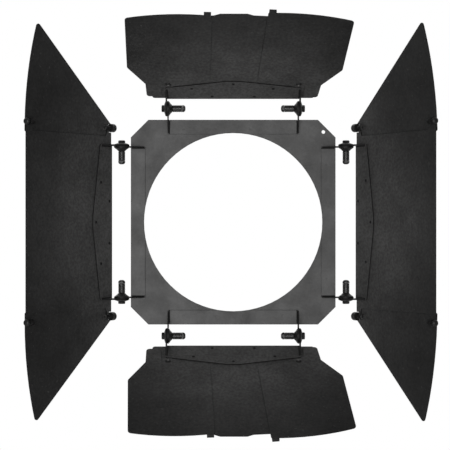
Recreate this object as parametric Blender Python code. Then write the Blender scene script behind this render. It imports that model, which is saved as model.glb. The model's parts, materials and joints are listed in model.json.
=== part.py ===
"""Barn doors for a studio spotlight: a square slot-in plate, four hinged leaves and eight wings.

Run it with blender --background --python part.py. Units are metres, +Z is up and the light
leaves towards -Y. The origin is the centre of the aperture, on the plate's back face.

Every leaf is drawn in its own leaf space, whose origin is on the hinge axis:
u runs along the hinge axis, d runs outwards along the leaf, w points to the side that faces the
light. Turning leaf space about u tilts the leaf.
"""

from math import acos, atan2, cos, pi, radians, sin, sqrt, tan

import bmesh
import bpy
from mathutils import Matrix, Vector, geometry

# Plate
PLATE_SIDE = 0.245
PLATE_THICK = 0.0016
PLATE_CHAMFER = 0.021
APERTURE_R = 0.1067
TETHER_HOLE_R = 0.0022
TETHER_HOLE_AT = 0.108

# Sheet metal
GAP = 0.0003
SHEET = 0.0010
EAR_THICK = 0.0015
HOLE_R = 0.0022

# Hinge axes stand this far in front of the plate's back face
PIVOT_FRONT = 0.0106
EAR_R = 0.0092
STRIP_WIDTH = 0.0172
STRIP_EAR_END = 0.0030

# Friction hinges, along the axis from the middle of the frame's ear; positive is outboard
LEAF_EAR = 0.0018
WASHER_FACE = LEAF_EAR + EAR_THICK / 2 + GAP
BOLT_HEAD_FROM = 0.0046
BOLT_HEAD_TO = 0.0077
BOLT_END = -0.0202
SPRING_FACE = -EAR_THICK / 2 - GAP
WASHER_END = -0.0057
SPRING_END = -0.0166
NUT_END = -0.0208
WASHER_R = 0.0086
WASHER_RIM = 0.0003
WASHER_WAIST_R = 0.0060
WASHER_WAIST_AT = -0.0030
BOLT_HEAD_R = 0.0042
SHANK_R = 0.0019
SPRING_R = 0.0042

# Leaf levels in leaf space: the bracket and the fan wings share the front level
LEAF_BASE = 0.0064
FRONT_LEVEL = -0.0095
PANEL_LEVEL = FRONT_LEVEL - SHEET - GAP
REAR_LEVEL = PANEL_LEVEL - SHEET - GAP

# Leaf bracket: a strip with a peaked outer edge and a bent ear at each end
BRACKET_END_DEPTH = 0.0215
BRACKET_MID_DEPTH = 0.0357
EAR_FOOT = 0.0200

# Side leaves and their folding wings
SIDE_LENGTH = 0.148
FOLD_U = 0.112
FOLD_W = -0.0094
PANEL_EDGE_U = 0.1022
BARREL_R = 0.0050
HUB_R = 0.0022
EYE_BORE_R = 0.0013
PIN_R = 0.0010
PIN_HEAD_R = 0.0039
WING_SLOPE = 0.8236
WING_START_H = 0.0054
WING_OUTER_R = 0.377
WING_TIP_ROUND = 0.0035

# Top and bottom leaves and their fan wings
FAN_LENGTH = 0.157
RIVET_U = 0.0767
RIVET_S = 0.0288
RIVET_SHANK_R = 0.0018
FAN_INNER_U = 0.0275
FAN_SIDE_U = 0.124
CLIP_U = 0.0325
CLIP_WIDTH = 0.008
CLIP_TOP_S = 0.1584

# Round parts are turned with this many sides
SIDES = 12
ARC_STEP = radians(20)

# name: turn about Y, hinge axis from the aperture's centre, tilt from flat in degrees,
# frame ear plane, names of the ends at +u and -u
LEAVES = {
    "top": (0, 0.1352, 59.0, 0.0776, ("right", "left")),
    "right": (90, 0.1343, 58.9, 0.0896, ("lower", "upper")),
    "bottom": (180, 0.1355, 55.6, 0.0776, ("left", "right")),
    "left": (270, 0.1328, 54.7, 0.0896, ("upper", "lower")),
}
# how far each fan wing leans outwards at rest, in degrees
FAN_LEAN = {
    ("top", "right"): 4.6,
    ("top", "left"): -1.5,
    ("bottom", "left"): -3.0,
    ("bottom", "right"): 6.0,
}
# how far each side wing is folded towards the light at rest, in degrees
WING_FOLD = {
    ("right", "upper"): 3.2,
    ("right", "lower"): 2.0,
    ("left", "upper"): 1.4,
    ("left", "lower"): 0.0,
}


def clear_scene():
    for obj in list(bpy.data.objects):
        bpy.data.objects.remove(obj)


def make_material(name, colour, roughness, metallic):
    material = bpy.data.materials.new(name)
    material.use_nodes = True
    shader = material.node_tree.nodes["Principled BSDF"]
    shader.inputs["Base Color"].default_value = (*colour, 1.0)
    shader.inputs["Roughness"].default_value = roughness
    shader.inputs["Metallic"].default_value = metallic
    return material


# ---------------------------------------------------------------- flat outlines


def rounded(points):
    """Turns (x, y, radius) corners into an outline whose corners are arcs."""
    outline = []
    count = len(points)
    for i, (x, y, radius) in enumerate(points):
        here = Vector((x, y))
        if radius == 0:
            outline.append(here)
            continue
        before = (Vector(points[i - 1][:2]) - here).normalized()
        after = (Vector(points[(i + 1) % count][:2]) - here).normalized()
        half = acos(max(-1.0, min(1.0, before.dot(after)))) / 2
        centre = here + (before + after).normalized() * (radius / sin(half))
        start = here + before * (radius / tan(half)) - centre
        end = here + after * (radius / tan(half)) - centre
        turn = atan2(start.x * end.y - start.y * end.x, start.dot(end))
        steps = max(1, round(abs(turn) / ARC_STEP))
        for k in range(steps + 1):
            outline.append(centre + Matrix.Rotation(turn * k / steps, 2) @ start)
    return outline


def circle(x, y, radius, sides):
    angles = [2 * pi * k / sides for k in range(sides)]
    return [Vector((x + radius * cos(a), y + radius * sin(a))) for a in angles]


def mirrored(outline):
    return [Vector((-p[0], p[1])) for p in reversed(outline)]


def symmetric(right):
    """The rounded outline of a piece from the corners of its +u half."""
    return rounded(right + [(-x, y, radius) for x, y, radius in reversed(right)])


# ---------------------------------------------------------------- solids


def finish(bm, name, material, parent):
    bmesh.ops.remove_doubles(bm, verts=bm.verts, dist=1e-6)
    bmesh.ops.recalc_face_normals(bm, faces=bm.faces)
    mesh = bpy.data.meshes.new(name)
    bm.to_mesh(mesh)
    bm.free()
    mesh.materials.append(material)
    obj = bpy.data.objects.new(name, mesh)
    bpy.context.collection.objects.link(obj)
    obj.parent = parent
    return obj


def sheet(name, outline, low, high, material, parent, holes=(), across="w"):
    """A flat piece from an outline, between two levels of w, or of u for an ear."""
    bm = bmesh.new()
    edges = []
    for loop in [outline, *holes]:
        verts = [bm.verts.new((p[0], p[1], 0)) for p in loop]
        edges += [bm.edges.new((verts[i - 1], v)) for i, v in enumerate(verts)]
    bmesh.ops.triangle_fill(bm, use_beauty=True, edges=edges)
    if not holes:
        bmesh.ops.dissolve_faces(bm, faces=bm.faces[:])
    front = bm.faces[:]
    raised = bmesh.ops.extrude_face_region(bm, geom=front)["geom"]
    moved = [v for v in raised if isinstance(v, bmesh.types.BMVert)]
    bmesh.ops.translate(bm, verts=moved, vec=(0, 0, high - low))
    bmesh.ops.translate(bm, verts=bm.verts, vec=(0, 0, low))
    if across == "u":
        turn = Matrix(((0, 0, 1), (1, 0, 0), (0, 1, 0)))
        bmesh.ops.transform(bm, matrix=turn.to_4x4(), verts=bm.verts)
    return finish(bm, name, material, parent)


def turned(name, profile, axis, at, material, parent, closed=False, sides=SIDES):
    """Spins (radius, position) points about an axis of leaf space through the point at."""
    bm = bmesh.new()
    verts = [bm.verts.new((r, 0, t)) for r, t in profile]
    pairs = list(zip(verts, verts[1:]))
    if closed:
        pairs.append((verts[-1], verts[0]))
    edges = [bm.edges.new(pair) for pair in pairs]
    bmesh.ops.spin(
        bm,
        geom=verts + edges,
        cent=(0, 0, 0),
        axis=(0, 0, 1),
        angle=2 * pi,
        steps=sides,
        use_merge=True,
    )
    turns = {"u": Matrix.Rotation(pi / 2, 4, "Y"), "d": Matrix.Rotation(-pi / 2, 4, "X")}
    if axis in turns:
        bmesh.ops.transform(bm, matrix=turns[axis], verts=bm.verts)
    bmesh.ops.translate(bm, verts=bm.verts, vec=at)
    obj = finish(bm, name, material, parent)
    obj.data.shade_smooth()
    obj.data.set_sharp_from_angle(angle=radians(35))
    return obj


def joined(body, extras):
    """Welds the extra solids to the body and removes them."""
    for extra in extras:
        weld = body.modifiers.new("weld", "BOOLEAN")
        weld.operation = "UNION"
        weld.solver = "EXACT"
        weld.object = extra
    bpy.context.view_layer.update()
    graph = bpy.context.evaluated_depsgraph_get()
    mesh = bpy.data.meshes.new_from_object(body.evaluated_get(graph))
    body.modifiers.clear()
    body.data = mesh
    for extra in extras:
        bpy.data.objects.remove(extra)
    return body


def ear_outline(foot):
    """A round ear about the hinge axis, in (d, w), running to two foot points on its strip."""
    points = circle(0, 0, EAR_R, 18) + [Vector(p) for p in foot]
    return [points[i] for i in geometry.convex_hull_2d(points)]


def ear(name, plane, foot, material, parent):
    hole = circle(0, 0, HOLE_R, 12)
    low, high = plane - EAR_THICK / 2, plane + EAR_THICK / 2
    return sheet(name, ear_outline(foot), low, high, material, parent, [hole], "u")


# ---------------------------------------------------------------- frame


def frame_plate(material):
    half = PLATE_SIDE / 2
    corner = half - PLATE_CHAMFER
    outline = []
    for sx, sz in ((1, 1), (-1, 1), (-1, -1), (1, -1)):
        pair = [Vector((sx * half, sz * corner)), Vector((sx * corner, sz * half))]
        outline += pair if sx * sz > 0 else pair[::-1]
    # seen from the front, the tether hole is by the upper right corner
    holes = [circle(0, 0, APERTURE_R, 72), circle(TETHER_HOLE_AT, TETHER_HOLE_AT, TETHER_HOLE_R, 12)]
    plate = sheet("frame_plate", outline, 0, PLATE_THICK, material, None, holes)
    plate.rotation_euler = (pi / 2, 0, 0)
    return plate


def hinge_strip(leaf, pivot_out, plane, material, parent):
    """A strip on the plate's front face, with an ear bent forward at each end."""
    outer = -(pivot_out - PLATE_SIDE / 2) - GAP
    inner = outer - STRIP_WIDTH + GAP
    back = -(PIVOT_FRONT - PLATE_THICK) + GAP
    front = back + EAR_THICK
    half = plane + EAR_THICK / 2
    clear_r = APERTURE_R + GAP
    chord = sqrt(clear_r**2 - (inner + pivot_out) ** 2)
    cut = three_point_arc((-chord, inner), (0, clear_r - pivot_out), (chord, inner), 6)
    outline = [(-half, inner), *cut, (half, inner), (half, outer), (-half, outer)]
    strip = sheet(f"{leaf}_hinge_strip", outline, back, front, material, parent)
    foot = ((outer, back), (inner + 0.001, back), (inner + 0.001, back + STRIP_EAR_END))
    ears = [ear("ear", side * plane, foot, material, parent) for side in (-1, 1)]
    return joined(strip, ears)


def friction_hinge(leaf, end, side, plane, materials, parent):
    """Bolt, spring and lock nut on the hinge axis. Positions run outwards from the frame ear."""
    steel, black = materials
    name = "{}_hinge_{{}}_{}".format(leaf, end)

    def place(profile):
        return [(r, side * (plane + t)) for r, t in profile]

    bolt = [(0, BOLT_HEAD_TO), (0.0026, BOLT_HEAD_TO), (0.0040, BOLT_HEAD_TO - 0.0007)]
    bolt += [(BOLT_HEAD_R, BOLT_HEAD_FROM), (WASHER_R, WASHER_FACE + WASHER_RIM)]
    bolt += [(WASHER_R, WASHER_FACE), (SHANK_R, WASHER_FACE), (SHANK_R, BOLT_END + 0.0006)]
    bolt += [(0.0014, BOLT_END), (0, BOLT_END)]
    turned(name.format("bolt"), place(bolt), "u", (0, 0, 0), black, parent)
    spring = [(HOLE_R, SPRING_FACE), (WASHER_R, SPRING_FACE), (WASHER_R, SPRING_FACE - WASHER_RIM)]
    spring += [(WASHER_WAIST_R, WASHER_WAIST_AT), (SPRING_R, WASHER_END)]
    spring += [(SPRING_R, SPRING_END), (HOLE_R, SPRING_END)]
    turned(name.format("spring"), place(spring), "u", (0, 0, 0), steel, parent, closed=True)
    nut = [(HOLE_R, SPRING_END - GAP), (BOLT_HEAD_R, SPRING_END - GAP), (BOLT_HEAD_R, -0.0192)]
    nut += [(0.0034, NUT_END + 0.0002), (HOLE_R, NUT_END)]
    turned(name.format("locknut"), place(nut), "u", (0, 0, 0), steel, parent, closed=True)


# ---------------------------------------------------------------- leaves


def leaf_bracket(leaf, plane, material, parent):
    """The strip that carries a leaf, with ears outside the frame's ears."""
    ear_plane = plane + LEAF_EAR
    half = ear_plane + EAR_THICK / 2
    base = LEAF_BASE
    points = [(-half, base, 0), (half, base, 0), (half, base + BRACKET_END_DEPTH, 0.002)]
    points += [(0, base + BRACKET_MID_DEPTH, 0.05), (-half, base + BRACKET_END_DEPTH, 0.002)]
    low = FRONT_LEVEL - SHEET
    strip = sheet(f"{leaf}_leaf_bracket", rounded(points), low, FRONT_LEVEL, material, parent)
    foot = ((base, low), (base + EAR_FOOT, low))
    ears = [ear("ear", side * ear_plane, foot, material, parent) for side in (-1, 1)]
    return joined(strip, ears)


def side_panel(leaf, material, parent):
    """A side leaf's middle panel. Its ends are cut back between the two wing pivots."""
    base, top = LEAF_BASE, LEAF_BASE + SIDE_LENGTH
    eye_from, eye_to = top - 0.0047, top - GAP
    corner = PANEL_EDGE_U
    beside_barrel, beside_hub = FOLD_U - BARREL_R - GAP, FOLD_U - HUB_R - 2 * GAP
    right = [(beside_barrel, base, 0.0005), (beside_barrel, base + 0.0041, 0)]
    right += [(beside_hub, base + 0.0041, 0.0003), (beside_hub, base + 0.0076, 0.0003)]
    right += [(corner, base + 0.0100, 0.002), (corner, top - 0.012, 0.008)]
    right += [(FOLD_U - 0.0030, eye_from, 0.001), (FOLD_U, eye_from, 0), (FOLD_U, eye_to, 0)]
    right += [(FOLD_U - 0.0040, eye_to, 0), (FOLD_U - 0.0050, top, 0.0005)]
    outline = symmetric(right)
    name = f"{leaf}_leaf_panel"
    panel = sheet(name, outline, PANEL_LEVEL - SHEET, PANEL_LEVEL, material, parent)
    reach = FOLD_W - PANEL_LEVEL + SHEET - 0.0001
    inset = 0.0002
    eyes = [eye(eye_from + inset, eye_to - inset, side, reach, material, parent) for side in (-1, 1)]
    return joined(panel, eyes)


def eye(start, end, side, radius, material, parent):
    """A short tube about a side wing's fold axis."""
    tube = [(EYE_BORE_R, start), (radius, start), (radius, end), (EYE_BORE_R, end)]
    return turned("eye", tube, "d", (side * FOLD_U, 0, FOLD_W), material, parent, closed=True)


def side_wing(leaf, end, side, material, parent):
    """A folding wing, drawn flat. Its inner margin lies behind the panel and stops it there."""
    base = LEAF_BASE
    margin, notch, notch_top = 0.0113, 0.0044, 0.0040

    def outer_s(h):
        return SIDE_LENGTH - (WING_OUTER_R - sqrt(WING_OUTER_R**2 - h**2))

    tip_s = 0.13
    for _ in range(30):
        tip_s = outer_s(WING_START_H + WING_SLOPE * tip_s)
    tip_h = WING_START_H + WING_SLOPE * tip_s
    points = [(-margin, notch_top, 0), (notch, notch_top, 0.0006)]
    points += [(notch, 0.0002, 0), (WING_START_H, 0.0002, 0)]
    points += [(tip_h, tip_s, WING_TIP_ROUND)]
    steps = 8
    points += [(tip_h * k / steps, outer_s(tip_h * k / steps), 0) for k in range(steps - 1, -1, -1)]
    points += [(-margin, SIDE_LENGTH, 0.002)]
    outline = [Vector((p.x + FOLD_U, p.y + base)) for p in rounded(points)]
    if side < 0:
        outline = mirrored(outline)
    name = f"{leaf}_wing_{end}"
    wing = sheet(name, outline, REAR_LEVEL - SHEET, REAR_LEVEL, material, parent)
    reach = FOLD_W - REAR_LEVEL + 0.0004
    spans = ((base + 0.0086, base + 0.0140), (base + SIDE_LENGTH - 0.0107, base + SIDE_LENGTH - 0.0050))
    eyes = [eye(start, stop, side, reach, material, parent) for start, stop in spans]
    return joined(wing, eyes)


def side_wing_pivots(leaf, end, side, material, parent):
    """The spring barrel at the wing's base and the headed pin at its outer edge."""
    at = (side * FOLD_U, 0, FOLD_W)
    s0 = LEAF_BASE
    barrel = [(0, -0.0036), (0.0036, -0.0036), (0.0047, -0.0030), (BARREL_R, -0.0020)]
    barrel += [(BARREL_R, 0.0030), (0.0044, 0.0036), (HUB_R, 0.0036), (HUB_R, 0.0080)]
    barrel += [(PIN_R, 0.0080), (PIN_R, 0.0145), (0, 0.0145)]
    profile = [(r, t + s0) for r, t in barrel]
    turned(f"{leaf}_wing_barrel_{end}", profile, "d", at, material, parent)
    edge = s0 + SIDE_LENGTH
    pin = [(0, -0.0120), (PIN_R, -0.0120), (PIN_R, GAP), (PIN_HEAD_R, GAP)]
    pin += [(PIN_HEAD_R, 0.0018), (0.0030, 0.0029), (0, 0.0030)]
    profile = [(r, t + edge) for r, t in pin]
    turned(f"{leaf}_wing_pin_{end}", profile, "d", at, material, parent)


def fan_panel(leaf, material, parent):
    """The middle panel of the top or bottom leaf, a little smaller than its fan wings."""
    base = LEAF_BASE
    right = [(0.096, base, 0.003), (0.0965, base + 0.029, 0), (0.1175, base + 0.062, 0.004)]
    right += [(0.1125, base + 0.1475, 0.004), (0.022, base + 0.1540, 0), (0.015, base + FAN_LENGTH, 0)]
    outline = symmetric(right)
    d = base + RIVET_S
    holes = [circle(side * RIVET_U, d, RIVET_SHANK_R + GAP, 12) for side in (-1, 1)]
    name = f"{leaf}_leaf_panel"
    return sheet(name, outline, PANEL_LEVEL - SHEET, PANEL_LEVEL, material, parent, holes)


def three_point_arc(a, b, c, steps):
    """Points from a to c on the circle through a, b and c."""
    a, b, c = Vector(a), Vector(b), Vector(c)
    ab, ac = b - a, c - a
    cross = 2 * (ab.x * ac.y - ab.y * ac.x)
    across = ac.y * ab.length_squared - ab.y * ac.length_squared
    up = ab.x * ac.length_squared - ac.x * ab.length_squared
    centre = a + Vector((across, up)) / cross
    start = a - centre
    end = c - centre
    turn = atan2(start.x * end.y - start.y * end.x, start.dot(end))
    return [centre + Matrix.Rotation(turn * k / steps, 2) @ start for k in range(steps + 1)]


def fan_wing(leaf, end, side, material, parent):
    """A fan wing, drawn about its rivet, with a clip over the panel's outer edge."""
    inner = FAN_INNER_U
    outer_edge = three_point_arc((FAN_SIDE_U, 0.1500), (0.072, 0.1580), (inner, 0.1564), 8)
    points = [(0.0845, 0.0048, 0.0015), (0.1020, 0.0048, 0.004), (0.1032, 0.0292, 0.003)]
    points += [(FAN_SIDE_U, 0.0604, 0.005), (*outer_edge[0], 0.0045)]
    points += [(*p, 0) for p in outer_edge[1:-1]]
    points += [(*outer_edge[-1], 0.0015), (inner, 0.0365, 0.002), (0.0680, 0.0268, 0.003)]
    points += [(0.0735, 0.0232, 0.002), (0.0845, 0.0228, 0)]
    about = Vector((RIVET_U, RIVET_S))
    outline = [Vector((p.x, p.y)) - about for p in rounded(points)]
    hole = circle(0, 0, RIVET_SHANK_R + GAP, 12)
    if side < 0:
        outline = mirrored(outline)
    low, high = FRONT_LEVEL - SHEET, FRONT_LEVEL
    wing = sheet(f"{leaf}_wing_{end}", outline, low, high, material, parent, [hole])
    inside, top = CLIP_TOP_S - about.y, CLIP_TOP_S + 0.0012 - about.y
    back = PANEL_LEVEL - SHEET - GAP
    root, tip = inside - 0.008, inside - 0.0110
    hook = [(root, low), (inside, low), (inside, back), (tip, back), (tip, back - SHEET)]
    hook += [(top, back - SHEET), (top, high), (root, high)]
    centre = side * (CLIP_U - about.x)
    clip_low, clip_high = centre - CLIP_WIDTH / 2, centre + CLIP_WIDTH / 2
    clip = sheet("clip", hook, clip_low, clip_high, material, parent, (), "u")
    return joined(wing, [clip])


def wing_rivet(leaf, end, side, material, parent):
    """A domed rivet through the wing and the panel. It stands about its own axis."""
    back = PANEL_LEVEL - SHEET - GAP
    front = FRONT_LEVEL + GAP
    profile = [(0, front + 0.0014), (0.0016, front + 0.0013), (0.0030, front + 0.0007)]
    profile += [(0.0036, front), (RIVET_SHANK_R, front), (RIVET_SHANK_R, back)]
    profile += [(0.0032, back), (0.0028, back - 0.0010), (0, back - 0.0011)]
    at = (side * RIVET_U, LEAF_BASE + RIVET_S, 0)
    turned(f"{leaf}_wing_rivet_{end}", profile, "w", at, material, parent)


# ---------------------------------------------------------------- assembly


def axis_empty(name, parent, matrix):
    empty = bpy.data.objects.new(name, None)
    bpy.context.collection.objects.link(empty)
    empty.parent = parent
    empty.matrix_local = matrix
    return empty


def build_leaf(leaf, materials):
    turn, pivot_out, tilt, plane, ends = LEAVES[leaf]
    sheet_black, frame_black, steel = materials
    face = Matrix.Rotation(radians(turn), 4, "Y") @ Matrix.Translation((0, -PIVOT_FRONT, pivot_out))
    fixed = axis_empty(f"{leaf}_hinge_axis", None, face @ Matrix.Rotation(pi / 2, 4, "X"))
    moving = axis_empty(f"{leaf}_leaf_axis", fixed, Matrix.Rotation(radians(tilt), 4, "X"))
    hinge_strip(leaf, pivot_out, plane, frame_black, fixed)
    leaf_bracket(leaf, plane, sheet_black, moving)
    folding = leaf in ("left", "right")
    make_panel = side_panel if folding else fan_panel
    make_panel(leaf, sheet_black, moving)
    for side, end in zip((1, -1), ends):
        friction_hinge(leaf, end, side, plane, (steel, frame_black), fixed)
        if folding:
            side_wing_pivots(leaf, end, side, frame_black, moving)
            shift = Matrix.Translation((side * FOLD_U, 0, FOLD_W))
            fold = Matrix.Rotation(-side * radians(WING_FOLD[leaf, end]), 4, "Y")
            axis = axis_empty(f"{leaf}_{end}_fold_axis", moving, shift @ fold)
            wing = side_wing(leaf, end, side, sheet_black, axis)
            wing.data.transform(shift.inverted())
        else:
            wing_rivet(leaf, end, side, steel, moving)
            lean = Matrix.Rotation(-side * radians(FAN_LEAN[leaf, end]), 4, "Z")
            shift = Matrix.Translation((side * RIVET_U, LEAF_BASE + RIVET_S, 0))
            axis = axis_empty(f"{leaf}_{end}_fan_axis", moving, shift @ lean)
            fan_wing(leaf, end, side, sheet_black, axis)


def main():
    clear_scene()
    sheet_black = make_material("matt_black_leaf", (0.022, 0.022, 0.023), 0.62, 0.0)
    frame_black = make_material("matt_black_frame", (0.055, 0.055, 0.056), 0.55, 0.0)
    steel = make_material("blackened_steel", (0.05, 0.05, 0.05), 0.38, 0.6)
    frame_plate(frame_black)
    for leaf in LEAVES:
        build_leaf(leaf, (sheet_black, frame_black, steel))


main()
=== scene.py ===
"""Looks for a set of studio barn doors: black painted sheet metal, friction hinges and wings.

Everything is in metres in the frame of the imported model: X right, Z up, and the light leaves
towards -Y. Each leaf has its own axes: u along its hinge, d outwards along the sheet and w
towards the side that faces the light.
"""

import json
from math import acos, atan2, cos, pi, radians, sin, tan

import bmesh
import bpy
from mathutils import Matrix, Vector


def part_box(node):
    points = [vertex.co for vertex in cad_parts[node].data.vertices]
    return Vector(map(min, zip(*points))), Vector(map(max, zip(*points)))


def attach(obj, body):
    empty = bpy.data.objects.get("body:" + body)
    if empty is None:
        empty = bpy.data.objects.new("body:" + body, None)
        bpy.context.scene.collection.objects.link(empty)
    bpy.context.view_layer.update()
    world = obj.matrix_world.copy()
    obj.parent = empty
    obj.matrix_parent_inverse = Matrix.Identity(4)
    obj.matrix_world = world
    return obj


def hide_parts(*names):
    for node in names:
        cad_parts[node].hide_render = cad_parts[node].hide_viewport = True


# Camera and studio: the surround is dim in front, bright behind, and weaker towards the sides
CAMERA_AT = (-0.0098, -1.797, -0.0034)
CAMERA_LENS = 120
SENSOR_WIDTH = 36
FLOOR_Z = -0.62
FLOOR_RADIUS = 2.2
SOFT_BOX_AT = (-0.3, -2.6, -0.25)
SOFT_BOX_SIDE = 1.9
SOFT_BOX_POWER = 62
WORLD_FRONT = 0.2
WORLD_BACK = 1.65
WORLD_SIDES = 0.5

# Sheet metal: faces larger than FLAT_AREA are shaded flat
EDGE_BEVEL = 0.00016
THICKEST_SHEET = 0.0018
FLAT_AREA = 2e-5
STRIP_FRONT = 0.0034
EAR_FROM = 0.0042
EAR_THICK = 0.0015
BEND_R = 0.0013
BEND_LENGTH = 0.0158
LEAF_EAR = 0.0018
LEAF_BEND_FROM = 0.0069
LEAF_BEND_LENGTH = 0.0185

# Spot welds: along a frame strip as shares of its length, on a leaf bracket as (u, depth)
DIMPLE_R = 0.0018
LEAF_DIMPLE = 0.0003
FRAME_DIMPLE = 0.00012
STRIP_WELDS = (-0.38, -0.13, 0.13, 0.38)
STRIP_WELD_INSET = 0.0068
BRACKET_WELDS = ((-0.049, 0.0205), (0, 0.0295), (0.047, 0.0205), (-0.025, 0.0050), (0.025, 0.0050))

# Friction hinges, measured outboard along the axis from the middle of the frame's ear
BOLT_HEAD_TO = 0.0077
HEAD_FROM = 0.0046
HEAD_UNDER = HEAD_FROM + 0.0002
HEAD_FLAT = 0.0036
HEAD_R = 0.0042
HEAD_TOP_R = 0.0034
HEAD_CHAMFER = 0.0007
SHANK_R = 0.0019
WASHER_R = 0.0086
WASHER_RIM = 0.0003
WASHER_BORE = 0.0021
WASHER_SHEET = 0.0007
WAIST_SHARE = 0.38
# Dished washers: the rim's face, the depth, the radius of the raised middle and of the waist
OUTER_WASHER = (0.00287, HEAD_FROM - 0.00287, 0.0048, 0.0068)
INNER_WASHER = (-0.00107, -0.0046, 0.0035, 0.0060)
SPRING_FROM = -0.0057
SPRING_TO = -0.0166
SPRING_R = 0.0036
WIRE_R = 0.0006
SPRING_TURNS = 11
NUT_FROM = -0.0168
NUT_TO = -0.0208
NUT_DOME = 0.0030
SHANK_TO = NUT_FROM + 0.0001

# Leaf levels and the places of the wing pivots, in leaf axes
LEAF_BASE = 0.0064
FRONT_LEVEL = -0.0095
REAR_LEVEL = -0.0121
SIDE_LENGTH = 0.148

# Turned profiles: (radius, position, corner radius). The knob is measured from the leaf's base,
# the pin from its outer edge
KNOB = (
    (0, -0.0036, 0), (0.0050, -0.0036, 0.0016), (0.0050, 0.0012, 0.0001), (0.0048, 0.0014, 0),
    (0.0048, 0.0018, 0), (0.0050, 0.0020, 0.0001), (0.0050, 0.0036, 0.0003),
    (0.0022, 0.0036, 0), (0.0022, 0.0080, 0.0004), (0.0010, 0.0080, 0),
    (0.0010, 0.0145, 0.0002), (0, 0.0145, 0),
)
PIN = (
    (0, -0.0120, 0), (0.0010, -0.0120, 0.0002), (0.0010, 0.0003, 0), (0.0039, 0.0003, 0.0002),
    (0.0039, 0.0014, 0.0006), (0.0028, 0.0030, 0.0018), (0, 0.0030, 0),
)
RIVET_SHANK_R = 0.0018
RIVET_HEAD_R = 0.0036
RIVET_HEAD = 0.0014
RIVET_TAIL_R = 0.0032
RIVET_TAIL = 0.0011
CROWN_R = 0.0016

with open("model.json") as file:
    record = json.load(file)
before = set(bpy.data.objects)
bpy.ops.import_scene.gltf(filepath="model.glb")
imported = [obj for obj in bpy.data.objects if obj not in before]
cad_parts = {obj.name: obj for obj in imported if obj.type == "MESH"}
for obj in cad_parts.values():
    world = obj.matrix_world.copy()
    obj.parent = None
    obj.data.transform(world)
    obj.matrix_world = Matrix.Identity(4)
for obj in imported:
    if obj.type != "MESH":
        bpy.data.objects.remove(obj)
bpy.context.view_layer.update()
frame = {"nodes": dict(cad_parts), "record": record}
joints = {j["name"]: j for j in frame["record"]["behaviour"]["joints"]}
LEAVES = {
    "top": ("left", "right"),
    "right": ("upper", "lower"),
    "bottom": ("left", "right"),
    "left": ("upper", "lower"),
}
FOLDING = ("left", "right")


# ---------------------------------------------------------------- materials


def add(tree, kind, **settings):
    """A shader node, with its sockets set by name: spaces in a socket's name become _."""
    made = tree.nodes.new(kind)
    for name, value in settings.items():
        socket = made.inputs.get(name.replace("_", " "))
        if socket is None:
            setattr(made, name, value)
        elif isinstance(value, bpy.types.NodeSocket):
            tree.links.new(value, socket)
        else:
            socket.default_value = value
    return made


def ramp(tree, factor, stops):
    """A colour ramp from (position, grey or colour) stops."""
    made = add(tree, "ShaderNodeValToRGB", Fac=factor)
    elements = made.color_ramp.elements
    while len(elements) < len(stops):
        elements.new(0.5)
    for element, (position, colour) in zip(elements, stops):
        element.position = position
        shade = (colour,) * 3 if isinstance(colour, float) else colour
        element.color = (*shade, 1)
    return made.outputs["Color"]


def noise(tree, place, scale, detail=3, roughness=0.5):
    made = add(tree, "ShaderNodeTexNoise", Vector=place, Scale=scale, Detail=detail, Roughness=roughness)
    return made.outputs["Fac"]


def mix(tree, factor, a, b, blend="MIX"):
    made = add(tree, "ShaderNodeMix", data_type="RGBA", blend_type=blend)
    for value, socket in ((factor, made.inputs[0]), (a, made.inputs[6]), (b, made.inputs[7])):
        if isinstance(value, bpy.types.NodeSocket):
            tree.links.new(value, socket)
        else:
            socket.default_value = value
    return made.outputs[2]


def bump(tree, height, distance, strength=1.0, below=None):
    made = add(tree, "ShaderNodeBump", Height=height, Distance=distance, Strength=strength)
    if below is not None:
        tree.links.new(below, made.inputs["Normal"])
    return made.outputs["Normal"]


def new_material(name, specular, metallic=0.0):
    material = bpy.data.materials.new(name)
    material.use_nodes = True
    tree = material.node_tree
    shader = tree.nodes["Principled BSDF"]
    shader.inputs["Specular IOR Level"].default_value = specular
    shader.inputs["Metallic"].default_value = metallic
    place = add(tree, "ShaderNodeTexCoord").outputs["Object"]
    return material, tree, shader, place


def grey(value, warmth=0.0):
    return (value * (1 + warmth), value, value * (1 - warmth), 1)


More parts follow.
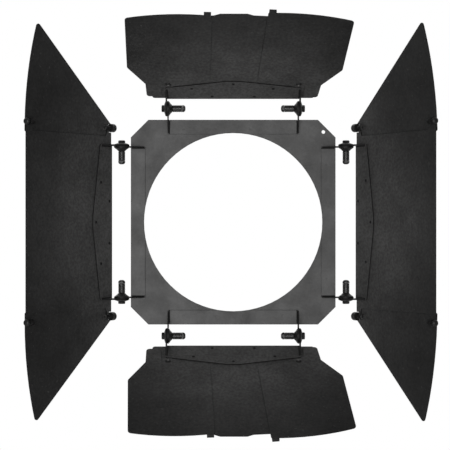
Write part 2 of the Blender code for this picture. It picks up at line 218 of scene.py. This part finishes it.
def matt_paint(name, shade, mottle, roughness, specular, chips=0.0, wear_and_painted_falloff=()):
    """Baked matt black: soft patches, a fine powdery grain, and bare metal where it is chipped.

    The brightness stops, when given, are (distance from the light's axis, brightness) pairs: painted
    shade that darkens the paint further from the light's axis.
    """
    material, tree, shader, place = new_material(name, specular)
    patches = ramp(tree, noise(tree, place, 24, 4, 0.6), [(0.34, 1 - mottle), (0.66, 1 + mottle)])
    clouds = ramp(tree, noise(tree, place, 330, 3), [(0.35, 1 - 1.3 * mottle), (0.65, 1 + 1.3 * mottle)])
    grain = noise(tree, place, 1500, 2)
    powder = ramp(tree, grain, [(0.3, 0.86), (0.7, 1.16)])
    colour = mix(tree, 1.0, patches, clouds, "MULTIPLY")
    colour = mix(tree, 1.0, colour, powder, "MULTIPLY")
    colour = mix(tree, 1.0, colour, grey(shade, 0.01), "MULTIPLY")
    if wear_and_painted_falloff:
        # Painted shade: the colour darkens with distance from the light's axis.
        flat = add(tree, "ShaderNodeMapping", Vector=place, Scale=(1, 0, 1)).outputs["Vector"]
        distance = add(tree, "ShaderNodeVectorMath", operation="LENGTH", Vector=flat).outputs["Value"]
        colour = mix(tree, 1.0, colour, ramp(tree, distance, wear_and_painted_falloff), "MULTIPLY")
    dust = ramp(tree, noise(tree, place, 310, 2), [(0.66, 0.0), (0.74, 0.35)])
    colour = mix(tree, dust, colour, grey(shade * 1.7, 0.02))
    dull = ramp(tree, noise(tree, place, 40, 4), [(0.3, roughness - 0.06), (0.7, roughness + 0.08)])
    if chips:
        bare = ramp(tree, noise(tree, place, 260, 5, 0.65), [(0.72 - chips, 0.0), (0.76 - chips, 1.0)])
        colour = mix(tree, bare, colour, grey(0.22, 0.02))
        dull = mix(tree, bare, dull, grey(0.38))
    tree.links.new(colour, shader.inputs["Base Color"])
    tree.links.new(dull, shader.inputs["Roughness"])
    flats = bump(tree, noise(tree, place, 11, 2), 0.0016, 0.35)
    peel = bump(tree, noise(tree, place, 420, 2), 0.00005, 0.5, flats)
    tree.links.new(bump(tree, grain, 0.00003, 0.6, peel), shader.inputs["Normal"])
    return material


def dark_metal(name, shade, roughness, metallic, wear, specular=0.32):
    """Blackened steel with worn, brighter patches and fine turning marks."""
    material, tree, shader, place = new_material(name, specular, metallic)
    wear_and_painted_falloff = ramp(tree, noise(tree, place, 520, 4, 0.6), [(0.5, 0.0), (0.68, wear)])
    cloud = ramp(tree, noise(tree, place, 210, 3), [(0.3, 0.8), (0.7, 1.25)])
    colour = mix(tree, 1.0, cloud, grey(shade, 0.015), "MULTIPLY")
    colour = mix(tree, wear_and_painted_falloff, colour, grey(min(0.6, shade * 4), 0.02))
    dull = ramp(tree, noise(tree, place, 900, 3), [(0.3, roughness - 0.07), (0.7, roughness + 0.1)])
    tree.links.new(colour, shader.inputs["Base Color"])
    tree.links.new(dull, shader.inputs["Roughness"])
    tree.links.new(bump(tree, noise(tree, place, 1900, 3), 0.00003, 0.5), shader.inputs["Normal"])
    return material


def stage_material():
    material, tree, shader, place = new_material("pale_floor", 0.2)
    tone = ramp(tree, noise(tree, place, 3, 3), [(0.3, 0.80), (0.7, 0.83)])
    tree.links.new(tone, shader.inputs["Base Color"])
    tree.links.new(bump(tree, noise(tree, place, 260, 3), 0.0002, 0.3), shader.inputs["Normal"])
    shader.inputs["Roughness"].default_value = 0.8
    return material


FRAME_PAINT = matt_paint("frame_black_paint", 0.036, 0.10, 0.46, 0.35)
# Painted shade: a much darker paint for the frame's cut edges, ears and bends, standing in for the shade
# along steps and gaps.
FRAME_PAINTED_SHADE = matt_paint("frame_black_painted_shade", 0.008, 0.12, 0.5, 0.2)
# Painted shade: the leaf paint darkens with distance from the light's axis.
PAINTED_SHADE_FALLOFF = [(0.155, 1.0), (0.19, 0.85), (0.22, 0.45), (0.25, 0.28), (0.30, 0.2)]
LEAF_PAINT = matt_paint("leaf_black_paint", 0.045, 0.20, 0.58, 0.20, wear_and_painted_falloff=PAINTED_SHADE_FALLOFF)
# Painted shade: a much darker paint for the leaves' cut edges, ears, bends and dimples.
LEAF_PAINTED_SHADE = matt_paint("leaf_black_painted_shade", 0.005, 0.15, 0.6, 0.15)
WORN_EDGE = matt_paint("worn_paint_edge", 0.010, 0.2, 0.45, 0.3, 0.03)
HINGE_BLACK = dark_metal("black_oxide_steel", 0.007, 0.42, 0.0, 0.15)
BOLT_BLACK = dark_metal("black_bolt_steel", 0.007, 0.5, 0.0, 0.12, specular=0.12)
SPRING_STEEL = dark_metal("oiled_spring_steel", 0.012, 0.26, 0.0, 0.25, specular=1.0)
DARK_STEEL = dark_metal("dark_plated_steel", 0.010, 0.34, 0.1, 0.2)
# Lighter metal for rivet crowns: wear, and a painted highlight on the dome.
WORN_AND_HIGHLIGHT_STEEL = dark_metal("worn_crown_painted_highlight_steel", 0.11, 0.30, 0.6, 0.5)


# ---------------------------------------------------------------- mesh helpers


def finish_piece(mesh, name, body, nodes, sharp=35):
    """Makes the mesh an object that rides on its body and stands for its CAD nodes."""
    mesh.set_sharp_from_angle(angle=radians(sharp))
    for face in mesh.polygons:
        face.use_smooth = face.area < FLAT_AREA
    piece = bpy.data.objects.new(name, mesh)
    bpy.context.scene.collection.objects.link(piece)
    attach(piece, body)
    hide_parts(*nodes)


def to_mesh(bm, name, *materials):
    """Turns bm into a mesh with those materials, and frees it."""
    mesh = bpy.data.meshes.new(name)
    bm.to_mesh(mesh)
    bm.free()
    for material in materials:
        mesh.materials.append(material)
    return mesh


def rounded(points, step=radians(22)):
    """Turns an open path of (x, y, radius) corners into one whose corners are arcs."""
    path = []
    for i, (x, y, radius) in enumerate(points):
        here = Vector((x, y))
        if radius == 0 or i in (0, len(points) - 1):
            path.append(here)
            continue
        before = (Vector(points[i - 1][:2]) - here).normalized()
        after = (Vector(points[i + 1][:2]) - here).normalized()
        half = acos(max(-1.0, min(1.0, before.dot(after)))) / 2
        centre = here + (before + after).normalized() * (radius / sin(half))
        start = here + before * (radius / tan(half)) - centre
        end = here + after * (radius / tan(half)) - centre
        turn = atan2(start.x * end.y - start.y * end.x, start.dot(end))
        steps = max(1, round(abs(turn) / step))
        path += [centre + Matrix.Rotation(turn * k / steps, 2) @ start for k in range(steps + 1)]
    return path


def lathe(name, path, place, material, flat=None, closed=False, segments=48):
    """Spins (radius, position) points about the Z axis of place.

    flat cuts a hexagon of that half width. closed joins the last point to the first.
    """
    bm = bmesh.new()
    rings = []
    for radius, along in path:
        if radius < 1e-6:
            rings.append([bm.verts.new((0, 0, along))])
            continue
        ring = []
        for k in range(segments):
            angle = 2 * pi * k / segments
            reach = radius
            if flat:
                reach = min(radius, flat / cos((angle + pi / 6) % (pi / 3) - pi / 6))
            ring.append(bm.verts.new((reach * cos(angle), reach * sin(angle), along)))
        rings.append(ring)
    pairs = list(zip(rings, rings[1:]))
    if closed:
        pairs.append((rings[-1], rings[0]))
    for a, b in pairs:
        for k in range(segments):
            n = (k + 1) % segments
            corners = [a[k % len(a)], a[n % len(a)], b[n % len(b)], b[k % len(b)]]
            face = list(dict.fromkeys(corners))
            if len(face) > 2:
                bm.faces.new(face)
    bmesh.ops.recalc_face_normals(bm, faces=bm.faces)
    bmesh.ops.transform(bm, matrix=place, verts=bm.verts)
    return to_mesh(bm, name, material)


def helix(name, place, material):
    """The close-wound friction spring. Its first and last turns lie flat."""
    per_turn, around = 28, 10
    turns, radius, wire = SPRING_TURNS, SPRING_R, WIRE_R
    count = turns * per_turn
    low, high = SPRING_FROM - wire, SPRING_TO + wire
    pitch = (low - high) / (turns - 2)
    bm = bmesh.new()
    rings = []
    for i in range(count + 1):
        turn = i / per_turn
        along = pitch * min(max(turn - 1, 0), turns - 2)
        angle = 2 * pi * turn
        out = Vector((cos(angle), sin(angle), 0))
        centre = out * radius + Vector((0, 0, low - along))
        ring = []
        for k in range(around):
            a = 2 * pi * k / around
            ring.append(bm.verts.new(centre + out * (wire * cos(a)) + Vector((0, 0, wire * sin(a)))))
        rings.append(ring)
    for a, b in zip(rings, rings[1:]):
        for k in range(around):
            n = (k + 1) % around
            bm.faces.new((a[k], a[n], b[n], b[k]))
    bm.faces.new(rings[0])
    bm.faces.new(rings[-1])
    bmesh.ops.recalc_face_normals(bm, faces=bm.faces)
    bmesh.ops.transform(bm, matrix=place, verts=bm.verts)
    return to_mesh(bm, name, material)


def basis(origin, x, y, z):
    """A matrix with those three directions as its columns."""
    turn = Matrix((x, y, z)).transposed().to_4x4()
    return Matrix.Translation(origin) @ turn


# ---------------------------------------------------------------- places


def leaf_axes(leaf):
    """A leaf's u, d, w axes at rest, with the origin on its hinge axis."""
    hinge = joints[f"{leaf}_leaf_hinge"]
    u = Vector(hinge["axis"])
    kind = "fold" if leaf in FOLDING else "swing"
    across = Vector(joints[f"{leaf}_{LEAVES[leaf][0]}_wing_{kind}"]["axis"])
    if across.y > 0:
        across.negate()
    if kind == "fold":
        d, w = across, u.cross(across)
    else:
        d, w = across.cross(u), across
    return basis(Vector(hinge["pos_m"]), u, d, w)


def hinge_axes(leaf, end):
    """Z outboard along the hinge axis, with the origin in the middle of the frame's ear."""
    low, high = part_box(f"{leaf}_hinge_bolt_{end}")
    low, high = Vector(low), Vector(high)
    middle = (low + high) / 2
    along = max(range(3), key=lambda k: (high - low)[k])
    outboard = Vector((0, 0, 0))
    outboard[along] = 1 if middle[along] > 0 else -1
    tip = high if outboard[along] > 0 else low
    origin = middle.copy()
    origin[along] = tip[along] - outboard[along] * BOLT_HEAD_TO
    forward = Vector((0, -1, 0))
    return basis(origin, forward, outboard.cross(forward), outboard)


# ---------------------------------------------------------------- sheet metal


def sheet_mesh(node, bevel):
    """The CAD sheet with its edges broken. Slots: face paint, cut edge in painted shade, worn corner."""
    bm = bmesh.new()
    bm.from_mesh(frame["nodes"][node].data)
    bmesh.ops.remove_doubles(bm, verts=bm.verts, dist=2e-6)
    bmesh.ops.dissolve_limit(bm, angle_limit=radians(0.5), verts=bm.verts, edges=bm.edges)
    # Narrow faces are the cut edges; they take the darker slot, painted shade along steps and gaps.
    for face in bm.faces:
        longest = max(edge.calc_length() for edge in face.edges)
        narrow = face.calc_area() / longest < THICKEST_SHEET
        face.material_index = 1 if narrow else 0
    corners = [e for e in bm.edges if e.is_manifold and e.calc_face_angle() > radians(50)]
    bmesh.ops.bevel(
        bm, geom=corners, offset=bevel, segments=2, profile=0.5, affect="EDGES",
        clamp_overlap=True, material=2,
    )
    bmesh.ops.recalc_face_normals(bm, faces=bm.faces)
    return to_mesh(bm, node)


def dimpled(mesh, spots, normal, depth):
    """Presses shallow spot-weld dimples into a sheet at the given points of its surface."""
    radius = (DIMPLE_R**2 + depth**2) / (2 * depth)
    bm = bmesh.new()
    for spot in spots:
        centre = spot + normal * (radius - depth)
        place = Matrix.Translation(centre) @ normal.to_track_quat("Z", "Y").to_matrix().to_4x4()
        bmesh.ops.create_uvsphere(bm, u_segments=32, v_segments=48, radius=radius, matrix=place)
    # On a leaf the dimples take the darker edge paint: painted shade in the hollows.
    for face in bm.faces:
        face.material_index = int(depth == LEAF_DIMPLE)
    cutter = bpy.data.objects.new("dimples", to_mesh(bm, "dimples", *mesh.materials))
    body = bpy.data.objects.new("dimpled", mesh)
    for thing in (cutter, body):
        bpy.context.scene.collection.objects.link(thing)
    press = body.modifiers.new("press", "BOOLEAN")
    press.operation, press.solver, press.object = "DIFFERENCE", "EXACT", cutter
    bpy.context.view_layer.update()
    graph = bpy.context.evaluated_depsgraph_get()
    pressed = bpy.data.meshes.new_from_object(body.evaluated_get(graph))
    for thing in (body, cutter):
        bpy.data.objects.remove(thing)
    return pressed


def sheet_piece(
    node, body, slot, spots=(), normal=None, depth=LEAF_DIMPLE, axes=None, ear_from=EAR_FROM
):
    """A sheet in its paints. Its ears, above ear_from on the z axis of axes, take the darker edge paint:
    painted shade.
    """
    mesh = sheet_mesh(node, EDGE_BEVEL)
    paints = (FRAME_PAINT, FRAME_PAINTED_SHADE) if slot == "frame_black" else (LEAF_PAINT, LEAF_PAINTED_SHADE)
    for material in (*paints, WORN_EDGE):
        mesh.materials.append(material)
    if axes is None:
        axes = basis(Vector((0, 0, 0)), Vector((1, 0, 0)), Vector((0, 0, 1)), Vector((0, -1, 0)))
    # Ears take the darker edge paint: painted shade.
    for face in mesh.polygons:
        if (axes.inverted() @ face.center).z > ear_from:
            face.material_index = 1
    if spots:
        mesh = dimpled(mesh, spots, normal, depth)
    return finish_piece(mesh, f"{node}_sheet", body, [node], sharp=50)


def frame_sheets():
    sheet_piece("frame_plate", "frame", "frame_black")
    for leaf in LEAVES:
        node = f"{leaf}_hinge_strip"
        low, high = (Vector(v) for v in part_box(node))
        middle = (low + high) / 2
        along = 0 if leaf in ("top", "bottom") else 2
        across = 2 - along
        inner = min(abs(low[across]), abs(high[across]))
        length = high[along] - low[along]
        spots = []
        for share in STRIP_WELDS:
            spot = Vector((0, -STRIP_FRONT, 0))
            spot[along] = middle[along] + share * length
            spot[across] = (inner + STRIP_WELD_INSET) * (1 if middle[across] > 0 else -1)
            spots.append(spot)
        sheet_piece(node, "frame", "frame_black", spots, Vector((0, -1, 0)), FRAME_DIMPLE)


def bend(name, place, length, material, body, node):
    """The rounded inside of an ear's bend: along x of place, filling the corner of its y and z."""
    arc = [pi * k / 16 for k in range(9)]
    section = [(0, 0)] + [(BEND_R * (1 - cos(a)), BEND_R * (1 - sin(a))) for a in arc]
    bm = bmesh.new()
    near, away = ([bm.verts.new(place @ Vector((x, y, z))) for y, z in section] for x in (0, length))
    bm.faces.new(near)
    bm.faces.new(away[::-1])
    for k in range(len(section)):
        n = (k + 1) % len(section)
        bm.faces.new((near[n], near[k], away[k], away[n]))
    bmesh.ops.recalc_face_normals(bm, faces=bm.faces)
    finish_piece(to_mesh(bm, name, material), name, body, [node])


def ear_bends(leaf, end):
    """Where the frame's ear leaves its strip, and the leaf's ear its bracket. Both bends are in the
    darker edge paint: painted shade at the ear's root.
    """
    hinge = hinge_axes(leaf, end)
    outboard = hinge.to_3x3() @ Vector((0, 0, 1))
    node = f"{leaf}_hinge_strip"
    low, high = (Vector(v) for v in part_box(node))
    k = 2 if leaf in ("top", "bottom") else 0
    start = hinge.translation - outboard * EAR_THICK / 2
    start[k] = min((low[k], high[k]), key=abs)
    start.y = -STRIP_FRONT
    run = Vector((0, 0, 0))
    run[k] = 1 if start[k] > 0 else -1
    place = basis(start, run, -outboard, Vector((0, -1, 0)))
    bend(f"{leaf}_{end}_ear_bend", place, BEND_LENGTH, FRAME_PAINTED_SHADE, "frame", node)

    axes = leaf_axes(leaf)
    u, d, w = (axes.to_3x3().col[k] for k in range(3))
    side = 1 if u.dot(outboard) > 0 else -1
    plane = (axes.inverted() @ hinge.translation).x + side * (LEAF_EAR - EAR_THICK / 2)
    place = basis(axes @ Vector((plane, LEAF_BEND_FROM, FRONT_LEVEL)), d, -side * u, w)
    name = f"{leaf}_{end}_leaf_ear_bend"
    bend(name, place, LEAF_BEND_LENGTH, LEAF_PAINTED_SHADE, f"{leaf}_leaf", f"{leaf}_leaf_bracket")


def leaf_sheets(leaf):
    axes = leaf_axes(leaf)
    body = f"{leaf}_leaf"
    normal = axes.to_3x3() @ Vector((0, 0, 1))
    spots = [axes @ Vector((u, LEAF_BASE + s, FRONT_LEVEL)) for u, s in BRACKET_WELDS]
    bracket = f"{leaf}_leaf_bracket"
    sheet_piece(bracket, body, "leaf_black", spots, normal, axes=axes, ear_from=FRONT_LEVEL + 0.0005)
    sheet_piece(f"{leaf}_leaf_panel", body, "leaf_black", axes=axes)
    for end in LEAVES[leaf]:
        wing = f"{leaf}_wing_{end}"
        sheet_piece(wing, wing, "leaf_black", axes=axes)


# ---------------------------------------------------------------- hinge hardware


def dished_washer(face, depth, middle, waist_r):
    """The closed section of a dished washer: its rim is at face, its raised middle depth away."""
    side = 1 if depth > 0 else -1
    skin = WASHER_SHEET
    outside = [(WASHER_R, face, 0), (WASHER_R, face + side * WASHER_RIM, 0.0001)]
    waist = face + WAIST_SHARE * depth
    outside += [(waist_r, waist + side * skin * 0.4, 0.003)]
    outside += [(middle, face + depth, 0.0006), (WASHER_BORE, face + depth, 0)]
    inside = [(WASHER_BORE, face + depth - side * skin, 0)]
    inside += [(middle - 0.0005, face + depth - side * skin, 0.0004)]
    inside += [(waist_r - 0.0004, waist - side * skin * 0.3, 0.002), (WASHER_R - 0.0009, face, 0)]
    return [*rounded(outside), *rounded(inside)]


def friction_hinge(leaf, end):
    place = hinge_axes(leaf, end)
    name = f"{leaf}_{end}_hinge"
    bolt_node, spring_node, nut_node = (
        f"{leaf}_hinge_{kind}_{end}" for kind in ("bolt", "spring", "locknut")
    )

    def fit(part, path, slot, node, material, **shape):
        mesh = lathe(f"{name}_{part}", path, place, material, **shape)
        finish_piece(mesh, f"{name}_{part}", "frame", [node], sharp=32)

    bolt = [(0, BOLT_HEAD_TO, 0), (HEAD_TOP_R, BOLT_HEAD_TO, 0.0004)]
    bolt += [(HEAD_R, BOLT_HEAD_TO - HEAD_CHAMFER, 0.0003), (HEAD_R, HEAD_UNDER, 0)]
    bolt += [(SHANK_R, HEAD_UNDER, 0), (SHANK_R, SHANK_TO, 0), (0, SHANK_TO, 0)]
    fit("bolt", rounded(bolt), "hinge_black", bolt_node, BOLT_BLACK, flat=HEAD_FLAT)
    outer, inner = dished_washer(*OUTER_WASHER), dished_washer(*INNER_WASHER)
    fit("outer_washer", outer, "hinge_black", bolt_node, HINGE_BLACK, closed=True)
    fit("inner_washer", inner, "spring_steel", spring_node, HINGE_BLACK, closed=True)
    coil = helix(f"{name}_spring", place, SPRING_STEEL)
    finish_piece(coil, f"{name}_spring", "frame", [spring_node], sharp=60)
    nut = rounded([(0, NUT_FROM, 0), (HEAD_R, NUT_FROM, 0), (HEAD_R, NUT_TO, NUT_DOME), (0, NUT_TO, 0)])
    fit("locknut", nut, "dark_steel", nut_node, DARK_STEEL, flat=HEAD_FLAT)


def side_pivots(leaf, end):
    """The knob at a folding wing's base and the headed pin at its outer edge."""
    axes = leaf_axes(leaf)
    fold = axes.inverted() @ Vector(joints[f"{leaf}_{end}_wing_fold"]["pos_m"])
    u, d, _ = (axes.to_3x3().col[k] for k in range(3))
    place = basis(axes @ Vector((fold.x, 0, fold.z)), u, d.cross(u), d)
    for kind, profile, start in (("barrel", KNOB, LEAF_BASE), ("pin", PIN, LEAF_BASE + SIDE_LENGTH)):
        node = f"{leaf}_wing_{kind}_{end}"
        path = [(point[0], point[1] + start) for point in rounded(profile)]
        mesh = lathe(node, path, place, HINGE_BLACK)
        finish_piece(mesh, f"{leaf}_{end}_wing_{kind}", f"{leaf}_leaf", [node], sharp=32)


def fan_rivet(leaf, end):
    """The domed rivet that a fan wing turns on. Its crown is lighter: worn metal and a painted
    highlight.
    """
    axes = leaf_axes(leaf)
    swing = axes.inverted() @ Vector(joints[f"{leaf}_{end}_wing_swing"]["pos_m"])
    place = axes @ Matrix.Translation((swing.x, swing.y, 0))
    front, back = FRONT_LEVEL + 0.0003, REAR_LEVEL
    rivet = [(0, front + RIVET_HEAD, 0), (RIVET_SHANK_R, front + RIVET_HEAD, 0.0012)]
    rivet += [(RIVET_HEAD_R, front + 0.0004, 0.0003), (RIVET_HEAD_R, front, 0)]
    rivet += [(RIVET_SHANK_R, front, 0), (RIVET_SHANK_R, back, 0), (RIVET_TAIL_R, back, 0.0002)]
    rivet += [(RIVET_TAIL_R - 0.0004, back - RIVET_TAIL, 0.0005), (0, back - RIVET_TAIL, 0)]
    node = f"{leaf}_wing_rivet_{end}"
    mesh = lathe(node, rounded(rivet), place, HINGE_BLACK)
    mesh.materials.append(WORN_AND_HIGHLIGHT_STEEL)
    # The crown takes the lighter metal: wear, and a painted highlight on the dome.
    for face in mesh.polygons:
        middle = place.inverted() @ face.center
        if middle.z > front and middle.xy.length < CROWN_R:
            face.material_index = 1
    finish_piece(mesh, f"{leaf}_{end}_wing_rivet", f"{leaf}_leaf", [node], sharp=32)


# ---------------------------------------------------------------- studio


def soft_box():
    """A large square light in front, aimed at the aperture."""
    light = bpy.data.lights.new("front_soft_box", "AREA")
    light.shape = "RECTANGLE"
    light.size = light.size_y = SOFT_BOX_SIDE
    light.energy = SOFT_BOX_POWER
    lamp = bpy.data.objects.new("front_soft_box", light)
    bpy.context.scene.collection.objects.link(lamp)
    lamp.location = SOFT_BOX_AT
    lamp.rotation_euler = (-Vector(SOFT_BOX_AT)).to_track_quat("-Z", "Y").to_euler()


def studio():
    """A pale floor below, a soft box in front and a pale surround."""
    bm = bmesh.new()
    bmesh.ops.create_circle(bm, cap_ends=True, segments=96, radius=FLOOR_RADIUS)
    bmesh.ops.translate(bm, verts=bm.verts, vec=(0, 0, FLOOR_Z))
    floor = bpy.data.objects.new("floor", to_mesh(bm, "floor", stage_material()))
    bpy.context.scene.collection.objects.link(floor)

    soft_box()
    bpy.context.scene.world = surround()


def surround():
    """Seen as white. It lights the object strongly from behind, less from the sides, least in front."""
    world = bpy.data.worlds.new("studio_surround")
    world.use_nodes = True
    tree = world.node_tree
    towards = add(tree, "ShaderNodeTexCoord").outputs["Generated"]
    facing = add(tree, "ShaderNodeSeparateXYZ", Vector=towards)
    depth = add(tree, "ShaderNodeMapRange", Value=facing.outputs["Y"], From_Min=-1.0, From_Max=1.0)
    glow = ramp(tree, depth.outputs[0], [(0.3, WORLD_FRONT), (0.9, WORLD_BACK)])
    direct = add(tree, "ShaderNodeLightPath").outputs["Is Camera Ray"]
    aside = add(tree, "ShaderNodeMath", operation="ABSOLUTE", Value=facing.outputs["X"]).outputs[0]
    glow = mix(tree, 1.0, glow, ramp(tree, aside, [(0.2, 1.0), (0.9, WORLD_SIDES)]), "MULTIPLY")
    shade = mix(tree, direct, glow, (1, 1, 1, 1))
    tree.links.new(shade, tree.nodes["Background"].inputs["Color"])
    return world


def camera():
    data = bpy.data.cameras.new("camera")
    data.lens, data.sensor_width = CAMERA_LENS, SENSOR_WIDTH
    data.clip_start, data.clip_end = 0.05, 20
    made = bpy.data.objects.new("camera", data)
    made.location = CAMERA_AT
    made.rotation_euler = (pi / 2, 0, 0)
    bpy.context.scene.collection.objects.link(made)
    bpy.context.scene.camera = made
    bpy.context.scene.view_settings.view_transform = "Standard"


def main():
    studio()
    camera()
    frame_sheets()
    for leaf, ends in LEAVES.items():
        leaf_sheets(leaf)
        for end in ends:
            ear_bends(leaf, end)
            friction_hinge(leaf, end)
            if leaf in FOLDING:
                side_pivots(leaf, end)
            else:
                fan_rivet(leaf, end)


main()
